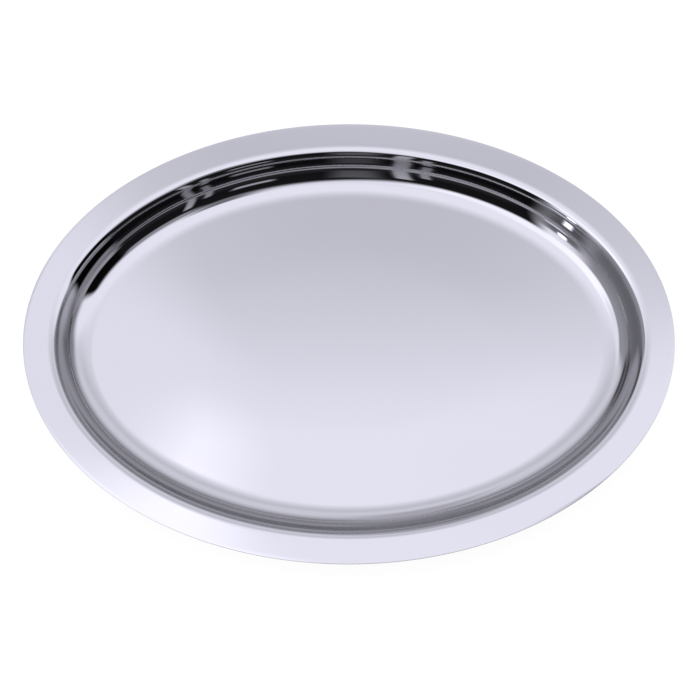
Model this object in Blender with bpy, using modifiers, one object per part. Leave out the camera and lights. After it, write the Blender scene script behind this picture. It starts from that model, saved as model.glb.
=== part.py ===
"""Oval serving tray, pressed from one sheet of stainless steel.

The tray is one piece of sheet: a flat rim with a plain edge, a shoulder that turns down into a sloping
wall, a softer heel that turns the wall into the floor, and a floor that is crowned a little, so that the
tray stands on a flat ring just inside its wall. The origin is at the centre of the tray, on the surface
that it stands on. +X runs along the tray's length and +Z is up. Sizes are in metres.
"""

import math

import bmesh
import bpy
from mathutils import Vector

# Overall sizes
LENGTH = 0.500
WIDTH = 0.354
HEIGHT = 0.027
SHEET = 0.0010

# The section, from the rim's edge inwards, on the upper face
RIM_WIDTH = 0.0174
SHOULDER_RADIUS = 0.0097
WALL_TILT = math.radians(60.5)
HEEL_RADIUS = 0.026
STANDING_RING = 0.008

# The crowned floor: a raised plateau, in the shape of the floor, and a soft slope down to the standing ring
CROWN_HEIGHT = 0.0008
PLATEAU_SHARE = 0.55

# The trimmed edge of the rim, with its burr taken off
EDGE_RADIUS = 0.00025

# Facets
OUTLINE_SIDES = 96
SHOULDER_STEPS = 5
HEEL_STEPS = 6
CROWN_STEPS = 4
EDGE_STEPS = 2
SMOOTH_BELOW = math.radians(35)
EDGE_ANGLE = math.radians(60)
MOST_BEND_SHARE = 0.95

STEEL_COLOUR = (0.62, 0.61, 0.64, 1.0)
STEEL_ROUGHNESS = 0.08


def clear_scene():
    for obj in list(bpy.data.objects):
        bpy.data.objects.remove(obj, do_unlink=True)


def outline(inset):
    """Points of the oval that lies this far inside the tray's elliptical edge, all the way round."""
    half_length = LENGTH / 2
    half_width = WIDTH / 2
    points = []
    for side in range(OUTLINE_SIDES):
        angle = 2 * math.pi * side / OUTLINE_SIDES
        edge = Vector((half_length * math.cos(angle), half_width * math.sin(angle), 0))
        outward = Vector((half_width * math.cos(angle), half_length * math.sin(angle), 0))
        points.append(edge - outward.normalized() * inset)
    return points


def bend(start, radius, tilt_from, tilt_to, steps):
    """(inset, drop) points after start, along an arc that turns the sheet from one tilt to another."""
    inset, drop = start
    points = []
    for step in range(1, steps + 1):
        tilt = tilt_from + (tilt_to - tilt_from) * step / steps
        run = radius * abs(math.sin(tilt) - math.sin(tilt_from))
        fall = radius * abs(math.cos(tilt) - math.cos(tilt_from))
        points.append((inset + run, drop + fall))
    return points


def section():
    """(inset, drop) points of the upper face, from the rim's edge to the inner side of the standing ring."""
    depth = HEIGHT - SHEET
    bends_drop = (SHOULDER_RADIUS + HEEL_RADIUS) * (1 - math.cos(WALL_TILT))
    # A wall too low for both bends makes both of them smaller.
    bend_scale = min(1, MOST_BEND_SHARE * depth / bends_drop)
    wall_drop = depth - bend_scale * bends_drop

    points = [(0, 0), (RIM_WIDTH, 0)]
    points += bend(points[-1], SHOULDER_RADIUS * bend_scale, 0, WALL_TILT, SHOULDER_STEPS)
    inset, drop = points[-1]
    points.append((inset + wall_drop / math.tan(WALL_TILT), drop + wall_drop))
    points += bend(points[-1], HEEL_RADIUS * bend_scale, WALL_TILT, 0, HEEL_STEPS)
    inset, drop = points[-1]
    points.append((inset + STANDING_RING, drop))
    return points


def smooth_step(share):
    return share * share * (3 - 2 * share)


def rings():
    """Every ring of points on the upper face, from the rim's edge to the edge of the floor's plateau."""
    made = []
    for inset, drop in section():
        level = Vector((0, 0, HEIGHT - drop))
        made.append([point + level for point in outline(inset)])
    floor_inset, floor_drop = section()[-1]
    for step in range(1, CROWN_STEPS + 1):
        share = step / CROWN_STEPS
        scale = 1 - (1 - PLATEAU_SHARE) * share
        level = Vector((0, 0, HEIGHT - floor_drop + CROWN_HEIGHT * smooth_step(share)))
        made.append([point * scale + level for point in outline(floor_inset)])
    return made


def extruded_ring(bm, verts, edges, points):
    """Extrudes a ring of edges to new points. It returns the new ring's vertices, in order, and edges."""
    places = {vert: place for place, vert in enumerate(verts)}
    made = bmesh.ops.extrude_edge_only(bm, edges=edges)["geom"]
    new_verts = [None] * len(points)
    for vert in made:
        if isinstance(vert, bmesh.types.BMVert):
            joined = [edge.other_vert(vert) for edge in vert.link_edges]
            place = next(places[other] for other in joined if other in places)
            new_verts[place] = vert
            vert.co = points[place]
    return new_verts, [edge for edge in made if isinstance(edge, bmesh.types.BMEdge)]


def upper_face():
    """The tray's upper face as an open surface, extruded ring by ring from the rim's edge inwards."""
    edge_ring, *inner_rings = rings()
    bm = bmesh.new()
    verts = bmesh.ops.create_circle(bm, segments=OUTLINE_SIDES, radius=LENGTH / 2)["verts"]
    for vert, point in zip(verts, edge_ring):
        vert.co = point
    edges = list(bm.edges)
    for ring in inner_rings:
        verts, edges = extruded_ring(bm, verts, edges, ring)
    plateau = bmesh.ops.contextual_create(bm, geom=edges)["faces"][0]
    bmesh.ops.recalc_face_normals(bm, faces=bm.faces)
    if plateau.normal.z < 0:
        bmesh.ops.reverse_faces(bm, faces=bm.faces)
    mesh = bpy.data.meshes.new("tray_body")
    bm.to_mesh(mesh)
    bm.free()
    return mesh


def polished_steel():
    material = bpy.data.materials.new("polished_steel")
    material.use_nodes = True
    shader = material.node_tree.nodes["Principled BSDF"]
    shader.inputs["Base Color"].default_value = STEEL_COLOUR
    shader.inputs["Metallic"].default_value = 1.0
    shader.inputs["Roughness"].default_value = STEEL_ROUGHNESS
    return material


def tray_body(collection):
    mesh = upper_face()
    mesh.materials.append(polished_steel())
    mesh.shade_smooth()
    mesh.set_sharp_from_angle(angle=SMOOTH_BELOW)
    body = bpy.data.objects.new("tray_body", mesh)
    collection.objects.link(body)

    sheet = body.modifiers.new("sheet thickness", "SOLIDIFY")
    sheet.thickness = SHEET
    sheet.offset = -1
    sheet.use_even_offset = True

    edge = body.modifiers.new("deburred edge", "BEVEL")
    edge.width = EDGE_RADIUS
    edge.segments = EDGE_STEPS
    edge.limit_method = "ANGLE"
    edge.angle_limit = EDGE_ANGLE


def main():
    clear_scene()
    collection = bpy.data.collections.new("serving_tray")
    bpy.context.scene.collection.children.link(collection)
    tray_body(collection)


main()
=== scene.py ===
"""Oval serving tray: the visual model, its studio and its camera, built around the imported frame."""

import math

import bpy
import numpy as np
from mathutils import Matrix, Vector


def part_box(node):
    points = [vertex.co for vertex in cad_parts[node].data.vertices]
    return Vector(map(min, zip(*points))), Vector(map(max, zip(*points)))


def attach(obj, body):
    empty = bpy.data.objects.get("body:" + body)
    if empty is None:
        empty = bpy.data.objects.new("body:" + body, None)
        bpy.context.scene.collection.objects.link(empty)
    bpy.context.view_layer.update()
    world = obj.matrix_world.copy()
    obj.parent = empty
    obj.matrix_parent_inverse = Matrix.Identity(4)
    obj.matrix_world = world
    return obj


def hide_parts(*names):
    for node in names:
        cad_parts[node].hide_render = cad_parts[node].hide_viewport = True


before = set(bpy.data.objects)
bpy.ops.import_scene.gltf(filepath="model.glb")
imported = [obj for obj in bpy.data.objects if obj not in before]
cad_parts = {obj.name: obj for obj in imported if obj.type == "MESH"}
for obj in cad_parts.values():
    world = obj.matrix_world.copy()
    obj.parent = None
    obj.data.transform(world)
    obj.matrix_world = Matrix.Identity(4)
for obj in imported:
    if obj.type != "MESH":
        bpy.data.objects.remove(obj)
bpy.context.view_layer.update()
BOX_LOW, BOX_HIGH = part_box("tray_body")

# The pressing, in metres. The overall sizes come from the frame, the section from the drawing.
HALF_LENGTH = (BOX_HIGH.x - BOX_LOW.x) / 2
HALF_WIDTH = (BOX_HIGH.y - BOX_LOW.y) / 2
HEIGHT = BOX_HIGH.z
SHEET = 0.0010
RIM_WIDTH = 0.0174
SHOULDER_RADIUS = 0.0097
BEND_TILT = math.radians(54)
WALL_TILT = math.radians(66)
WALL_STEEPEST = 0.31
HEEL_RADIUS = 0.026
STANDING_RING = 0.008
CROWN_HEIGHT = 0.0008
PLATEAU_SHARE = 0.55
EDGE_RADIUS = 0.00025

# How finely the skin is cut
OVAL_SIDES = 384
RIM_STEPS = 6
SHOULDER_STEPS = 22
WALL_STEPS = 26
HEEL_STEPS = 30
RING_STEPS = 4
CROWN_STEPS = 16
PLATEAU_STEPS = 10
EDGE_STEPS = 6

# How far the surface leans where the wall's painted shade sets in, and how softly, in degrees
WALL_SHADE_LEAN = 45
WALL_SHADE_SPREAD = 20

# The finishes, in the order of the skin's material slots
BUFFED, DEBURRED, DRAWN = range(3)

# The camera stands in front of the tray and looks down on it. Its lens and sensor are in millimetres, and its
# distances in metres. The aim is how far the middle of the view lies from the middle of the tray.
CAMERA_DISTANCE = 1.6
CAMERA_ELEVATION = math.radians(72.4)
LENS = 107.2
SENSOR = 36.0
AIM_RIGHT = 0.0008
AIM_DOWN = 0.0100
FARTHEST_SEEN = 50

# The counter that the tray stands on
COUNTER_SIZE = 12
COUNTER_GLOW = 0.90

# The studio: a white light tent over the tray, in a darker room, reaching a little below the rim's level.
# Its sizes are in metres, and its step and reach in degrees.
TENT_RADIUS = 1.4
TENT_HEIGHT = 0.47
TENT_STEP = 0.5
TENT_REACH = 100
TENT_CLOTH = 0.955
TENT_COLOUR = (1.0, 0.99, 1.13, 1.0)

# The pieces of the studio, each laid over the ones before it: name, how it hangs, brightness, bearing,
# height, half width, half height and the softness of its sides and ends. The bearing is from the far side
# and the height from overhead. All but the brightness are in degrees.
STUDIO = (
    ("back wall low", "upright", 0.12, 0, 95, 120, 17, 30, 44),
    ("right wall low", "upright", 0.38, 80, 95, 25, 28, 30, 24),
    ("back of the roof", "overhead", 0.83, 5, 35, 24, 6, 24, 16),
    ("roof", "overhead", 1.28, 180, 4, 70, 20, 26, 24),
    ("right white wall", "upright", 1.26, 92, 34, 22, 23, 26, 10),
    ("left white wall", "upright", 1.2, -64, 31, 22, 15, 24, 12),
    ("left wall", "upright", 0.44, -88, 75, 34, 30, 14, 10),
    ("left softbox", "upright", 1.6, -126, 30, 34, 14, 22, 14),
    ("zenith spill", "overhead", 1.66, -92, 19, 8, 4, 15, 13),
    ("left corner", "upright", 1.25, -137, 52, 7, 12, 10, 10),
    ("left corner low", "upright", 0.27, -134, 76, 8, 12, 8, 12),
    ("dark room", "upright", 0.012, 158, 90, 59, 59, 8, 18),
    ("dark room top left", "overhead", 1.5, -156, 31, 11, 8, 12, 12),
    ("low drape", "upright", 0.035, 168, 88, 42, 12, 10, 14),
    ("grey drape", "overhead", 0.4, 142, 38, 9, 5, 5, 5),
    ("grey post", "upright", 0.14, 181, 62, 3, 16, 4, 6),
    ("stand head", "overhead", 0.25, 163, 28, 2.5, 8, 4, 4),
    ("bright sheet", "overhead", 0.55, 165, 66, 4, 4, 2, 2),
    ("right leg", "upright", 0.55, 152, 72, 1.0, 18, 1.0, 4),
    ("right leg foot", "upright", 0.45, 156, 80, 0.8, 10, 0.8, 3),
    ("left leg", "upright", 0.6, 188, 72, 1.2, 18, 1.0, 4),
    ("left leg foot", "upright", 0.5, 192, 80, 0.8, 10, 0.8, 3),
    ("flag", "upright", 0.004, 114, 58, 12.5, 16, 3, 5),
    ("lit floor right", "upright", 0.58, 110, 92, 16, 17, 8, 5),
    ("dark corner", "upright", 0.09, -50, 90, 11, 12, 12, 8),
    ("window left", "upright", 1.8, -137, 88, 4, 3, 3, 3),
    ("back streak", "upright", 0.62, -3, 70, 2.5, 14, 3, 12),
    ("far lamp", "upright", 4.0, -134.5, 69, 1.6, 5, 1.5, 3),
)


def linear(hex_colour):
    """A linear RGBA colour from six sRGB hex digits."""
    channels = []
    for start in (0, 2, 4):
        value = int(hex_colour[start : start + 2], 16) / 255
        channels.append(value / 12.92 if value <= 0.04045 else ((value + 0.055) / 1.055) ** 2.4)
    return (*channels, 1.0)


def node(tree, kind, settings=None, **links):
    """Adds a node. Settings go on the node, and links set its inputs, from a socket or a value."""
    made = tree.nodes.new(kind)
    for name, value in (settings or {}).items():
        setattr(made, name, value)
    for name, source in links.items():
        key = int(name[1:]) if name[0] == "i" and name[1:].isdigit() else name.replace("_", " ")
        if isinstance(source, bpy.types.NodeSocket):
            tree.links.new(source, made.inputs[key])
        else:
            made.inputs[key].default_value = source
    return made


def smooth_step(share):
    return share * share * (3 - 2 * share)


def eased(edge_distance):
    """0 outside, 1 inside and a soft step between, for a distance in units of the softness."""
    return smooth_step(np.clip(edge_distance + 0.5, 0, 1))


def oval(inset):
    """The oval that lies this far inside the tray's elliptical edge, as an array of points."""
    angle = np.linspace(0, 2 * math.pi, OVAL_SIDES, endpoint=False)
    edge = np.stack([HALF_LENGTH * np.cos(angle), HALF_WIDTH * np.sin(angle)], axis=1)
    outward = np.stack([HALF_WIDTH * np.cos(angle), HALF_LENGTH * np.sin(angle)], axis=1)
    outward /= np.linalg.norm(outward, axis=1)[:, None]
    return edge - inset * outward


def pressed_section():
    """(inset, drop, tilt) of the upper face, from the rim's edge to the inner side of the standing ring."""
    points = [(EDGE_RADIUS, 0.0, 0.0)]

    def straight(run, steps):
        inset, level, _ = points[-1]
        for step in range(1, steps + 1):
            points.append((inset + run * step / steps, level, 0.0))

    def bend(radius, tilt_from, tilt_to, steps):
        inset, level, _ = points[-1]
        for step in range(1, steps + 1):
            tilt = tilt_from + (tilt_to - tilt_from) * step / steps
            run = radius * abs(math.sin(tilt) - math.sin(tilt_from))
            drop = radius * abs(math.cos(tilt) - math.cos(tilt_from))
            points.append((inset + run, level + drop, tilt))

    straight(RIM_WIDTH - EDGE_RADIUS, RIM_STEPS)
    bend(SHOULDER_RADIUS, 0, BEND_TILT, SHOULDER_STEPS)
    bends_drop = (SHOULDER_RADIUS + HEEL_RADIUS) * (1 - math.cos(BEND_TILT))
    wall(points, HEIGHT - SHEET - bends_drop)
    bend(HEEL_RADIUS, BEND_TILT, 0, HEEL_STEPS)
    straight(STANDING_RING, RING_STEPS)
    return points


def wall(points, wall_drop):
    """The wall between the bends: it steepens to WALL_TILT near its top, then eases into the heel."""
    inset, level, _ = points[-1]
    shares = np.linspace(0, 1, WALL_STEPS + 1)
    steepness = np.where(shares < WALL_STEEPEST, shares / WALL_STEEPEST, (1 - shares) / (1 - WALL_STEEPEST))
    tilts = BEND_TILT + (WALL_TILT - BEND_TILT) * steepness
    slopes = (np.tan(tilts[1:]) + np.tan(tilts[:-1])) / 2
    drops = np.concatenate([[0], np.cumsum(slopes)]) / WALL_STEPS
    run = wall_drop / drops[-1]
    for share, drop, tilt in list(zip(shares, drops, tilts))[1:]:
        points.append((inset + share * run, level + drop * run, tilt))


def edge_round(upper):
    """(inset, height) points round the trimmed edge, from its middle up or down to the flat of the rim."""
    points = []
    for step in range(EDGE_STEPS + 1):
        turn = math.pi / 2 * step / EDGE_STEPS
        inset = EDGE_RADIUS * (1 - math.cos(turn))
        rise = SHEET / 2 - EDGE_RADIUS + EDGE_RADIUS * math.sin(turn)
        points.append((inset, HEIGHT - SHEET / 2 + (rise if upper else -rise)))
    return points


def face_rings(thickness):
    """Rings of points over one face, from the rim's edge inwards, offset outwards by a thickness."""
    rings = []
    for inset, drop, tilt in pressed_section():
        ring = oval(inset - thickness * math.sin(tilt))
        level = HEIGHT - drop - thickness * math.cos(tilt)
        rings.append(np.column_stack([ring, np.full(OVAL_SIDES, level)]))
    floor = rings[-1]
    for step in range(1, CROWN_STEPS + PLATEAU_STEPS):
        share = min(1, step / CROWN_STEPS)
        if step <= CROWN_STEPS:
            scale = 1 - (1 - PLATEAU_SHARE) * share
        else:
            scale = PLATEAU_SHARE * (1 - (step - CROWN_STEPS) / PLATEAU_STEPS)
        ring = floor.copy()
        ring[:, :2] *= scale
        ring[:, 2] += CROWN_HEIGHT * smooth_step(share)
        rings.append(ring)
    return rings


def edge_rings():
    """Rings of points round the trimmed edge, from the upper flat of the rim to the lower one."""
    section = edge_round(True)[::-1] + edge_round(False)
    return [np.column_stack([oval(inset), np.full(OVAL_SIDES, level)]) for inset, level in section]


def sheet_mesh():
    """The whole tray as one closed mesh, from the middle of the floor over the edge to the underside."""
    upper = face_rings(0)[::-1]
    lower = face_rings(SHEET)
    edge = edge_rings()[1:-1]
    rings = upper + edge + lower
    middles = [rings[0].mean(axis=0), rings[-1].mean(axis=0)]
    points = np.concatenate([*rings, middles])
    sides = np.arange(OVAL_SIDES)
    following = (sides + 1) % OVAL_SIDES
    faces = []
    finishes = []
    for row in range(len(rings) - 1):
        here = row * OVAL_SIDES
        there = here + OVAL_SIDES
        strip = [here + sides, there + sides, there + following, here + following]
        faces += np.column_stack(strip).tolist()
        on_edge = len(upper) - 1 <= row < len(upper) + len(edge)
        finish = DEBURRED if on_edge else BUFFED if row < len(upper) else DRAWN
        finishes += [finish] * OVAL_SIDES
    end = (len(rings) - 1) * OVAL_SIDES
    upper_middle = np.full(OVAL_SIDES, len(points) - 2)
    lower_middle = np.full(OVAL_SIDES, len(points) - 1)
    faces += np.column_stack([sides, following, upper_middle]).tolist()
    faces += np.column_stack([end + following, end + sides, lower_middle]).tolist()
    finishes += [BUFFED] * OVAL_SIDES + [DRAWN] * OVAL_SIDES
    mesh = bpy.data.meshes.new("tray_skin")
    mesh.from_pydata(points.tolist(), [], faces)
    mesh.polygons.foreach_set("material_index", finishes)
    mesh.shade_smooth()
    mesh.update()
    return mesh


def mark_wall_shade(mesh):
    """Marks how far each point belongs to the steep wall, from 0 to 1, which sets how much painted shade it
    gets.
    """
    upright = np.abs([vertex.normal.z for vertex in mesh.vertices])
    lean = np.degrees(np.arccos(np.clip(upright, 0, 1)))
    # Painted shade: the further the surface leans, the darker the colour it is given.
    steepness = eased((lean - WALL_SHADE_LEAN) / WALL_SHADE_SPREAD)
    mesh.attributes.new("wall", "FLOAT", "POINT").data.foreach_set("value", steepness)


def tray_skin():
    mesh = sheet_mesh()
    mark_wall_shade(mesh)
    for finish in (buffed_stainless(), deburred_edge(), drawn_underside()):
        mesh.materials.append(finish)
    skin = bpy.data.objects.new("tray_skin", mesh)
    bpy.context.scene.collection.objects.link(skin)
    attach(skin, "root")
    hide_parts("tray_body")


def steel(name, hex_colour, roughness):
    """Bare stainless steel: all metal, so that its look is its colour and how rough its surface is."""
    material = bpy.data.materials.new(name)
    material.use_nodes = True
    shader = material.node_tree.nodes["Principled BSDF"]
    shader.inputs["Base Color"].default_value = linear(hex_colour)
    shader.inputs["Metallic"].default_value = 1.0
    shader.inputs["Roughness"].default_value = roughness
    return material


def buffed_stainless():
    """The upper face: stainless steel sheet, buffed with compound to a mirror. It shows the room and has next
    to no colour of its own. Painted shade darkens its colour on the steep wall, the more the surface leans."""
    material = steel("buffed_stainless", "CBCACE", 0.012)
    tree = material.node_tree
    wall = node(tree, "ShaderNodeAttribute", {"attribute_name": "wall"})
    # Painted shade: the colour darkens from CBCBCC to AEAEAF on the steep wall.
    colour = node(
        tree,
        "ShaderNodeMix",
        {"data_type": "RGBA"},
        i0=wall.outputs["Fac"],
        i6=linear("CBCBCC"),
        i7=linear("AEAEAF"),
    )
    tree.links.new(colour.outputs[2], tree.nodes["Principled BSDF"].inputs["Base Color"])
    return material


def deburred_edge():
    """The trimmed edge: sheared, then rounded over with an abrasive wheel, which leaves a fine satin line."""
    return steel("deburred_edge", "C4C3C7", 0.25)


def drawn_underside():
    """The underside: the sheet as it leaves the press, washed and not buffed, so it is a soft, even satin."""
    return steel("drawn_underside", "BDBCC0", 0.22)


def only_in_reflections(obj):
    """Hides a piece of the studio from all but the steel."""
    obj.visible_camera = False
    obj.visible_diffuse = False
    obj.visible_shadow = False
    obj.visible_transmission = False
    obj.visible_volume_scatter = False


def counter_top():
    """White laminate, pressed matt. It is so evenly lit that only a faint shadow is left under the rim."""
    bpy.ops.mesh.primitive_plane_add(size=COUNTER_SIZE)
    counter = bpy.context.object
    counter.name = "counter_top"
    material = bpy.data.materials.new("white_laminate")
    material.use_nodes = True
    shader = material.node_tree.nodes["Principled BSDF"]
    shader.inputs["Base Color"].default_value = linear("5A5A5A")
    shader.inputs["Roughness"].default_value = 0.6
    shader.inputs["Emission Color"].default_value = (1, 1, 1, 1)
    shader.inputs["Emission Strength"].default_value = COUNTER_GLOW
    counter.data.materials.append(material)


def upright_cover(azimuth, zenith, piece):
    """How much an upright piece covers each direction. It spans two bearings and two heights."""
    bearing, height, half_width, half_height, soft_side, soft_end = piece
    across = np.abs((azimuth - bearing + 180) % 360 - 180)
    along = np.abs(zenith - height)
    return eased((half_width - across) / soft_side) * eased((half_height - along) / soft_end)


def overhead_cover(azimuth, zenith, piece):
    """How much a flat card hung overhead covers each direction."""
    bearing, height, half_width, half_depth, soft_side, soft_end = piece
    turn = np.radians(azimuth - bearing)
    across = zenith * np.sin(turn)
    along = zenith * np.cos(turn) - height
    return eased((half_width - np.abs(across)) / soft_side) * eased((half_depth - np.abs(along)) / soft_end)


def studio_light(azimuth, zenith):
    """The brightness that the steel sees in each direction, given as bearings and heights in degrees."""
    light = np.full(azimuth.shape, TENT_CLOTH)
    covers = {"upright": upright_cover, "overhead": overhead_cover}
    for name, hung, brightness, *piece in STUDIO:
        share = covers[hung](azimuth, zenith, piece)
        light = light * (1 - share) + brightness * share
    return light


def light_tent():
    """The light tent and the room behind it, as one flattened dome that glows as the studio does."""
    bearings = np.radians(np.arange(0, 360, TENT_STEP))
    heights = np.radians(np.arange(TENT_STEP, TENT_REACH, TENT_STEP))
    bearing, height = np.meshgrid(bearings, heights)
    level = np.sin(height)
    slope = np.stack([level * np.sin(bearing), level * np.cos(bearing), np.cos(height)], axis=2)
    flattened = slope / np.array([TENT_RADIUS, TENT_RADIUS, TENT_HEIGHT])
    reach = 1 / np.linalg.norm(flattened, axis=2)
    points = (slope * reach[..., None]).reshape(-1, 3)
    rows, columns = bearing.shape
    faces = []
    for row in range(rows - 1):
        here = row * columns + np.arange(columns)
        following = row * columns + (np.arange(columns) + 1) % columns
        faces += np.column_stack([here, following, following + columns, here + columns]).tolist()
    top = len(points)
    faces += [[top, (column + 1) % columns, column] for column in range(columns)]
    mesh = bpy.data.meshes.new("light_tent")
    mesh.from_pydata([*points.tolist(), [0, 0, TENT_HEIGHT]], [], faces)
    glow = studio_light(np.degrees(bearing).ravel(), np.degrees(height).ravel())
    overhead = studio_light(np.zeros(1), np.zeros(1))
    mesh.attributes.new("glow", "FLOAT", "POINT").data.foreach_set("value", np.append(glow, overhead))
    mesh.materials.append(tent_cloth())
    tent = bpy.data.objects.new("light_tent", mesh)
    tent.location.z = HEIGHT
    bpy.context.scene.collection.objects.link(tent)
    only_in_reflections(tent)


def tent_cloth():
    """White woven nylon, lit from behind: it glows evenly, and a little cooler than daylight."""
    material = bpy.data.materials.new("tent_cloth")
    material.use_nodes = True
    tree = material.node_tree
    tree.nodes.clear()
    glow = node(tree, "ShaderNodeAttribute", {"attribute_name": "glow"})
    light = node(tree, "ShaderNodeEmission", Color=TENT_COLOUR, Strength=glow.outputs["Fac"])
    node(tree, "ShaderNodeOutputMaterial", Surface=light.outputs[0])
    return material


def world_light():
    """Even white light from all round, which the counter and its shadows see."""
    world = bpy.data.worlds.new("room_light")
    bpy.context.scene.world = world
    world.use_nodes = True
    background = world.node_tree.nodes["Background"]
    background.inputs["Color"].default_value = (1, 1, 1, 1)
    background.inputs["Strength"].default_value = 1.0


def place_camera():
    data = bpy.data.cameras.new("camera")
    data.sensor_width = SENSOR
    data.lens = LENS
    data.dof.use_dof = False
    data.clip_end = FARTHEST_SEEN
    view = bpy.data.objects.new("camera", data)
    bpy.context.scene.collection.objects.link(view)
    centre = Vector((0, 0, HEIGHT))
    away = Vector((0, -math.cos(CAMERA_ELEVATION), math.sin(CAMERA_ELEVATION)))
    up = Vector((0, math.sin(CAMERA_ELEVATION), math.cos(CAMERA_ELEVATION)))
    view.location = centre + away * CAMERA_DISTANCE
    aim = centre + Vector((AIM_RIGHT, 0, 0)) - up * AIM_DOWN
    view.rotation_euler = (aim - view.location).to_track_quat("-Z", "Y").to_euler()
    bpy.context.scene.camera = view


def main():
    bpy.context.scene.view_settings.view_transform = "Standard"
    place_camera()
    tray_skin()
    counter_top()
    light_tent()
    world_light()


main()
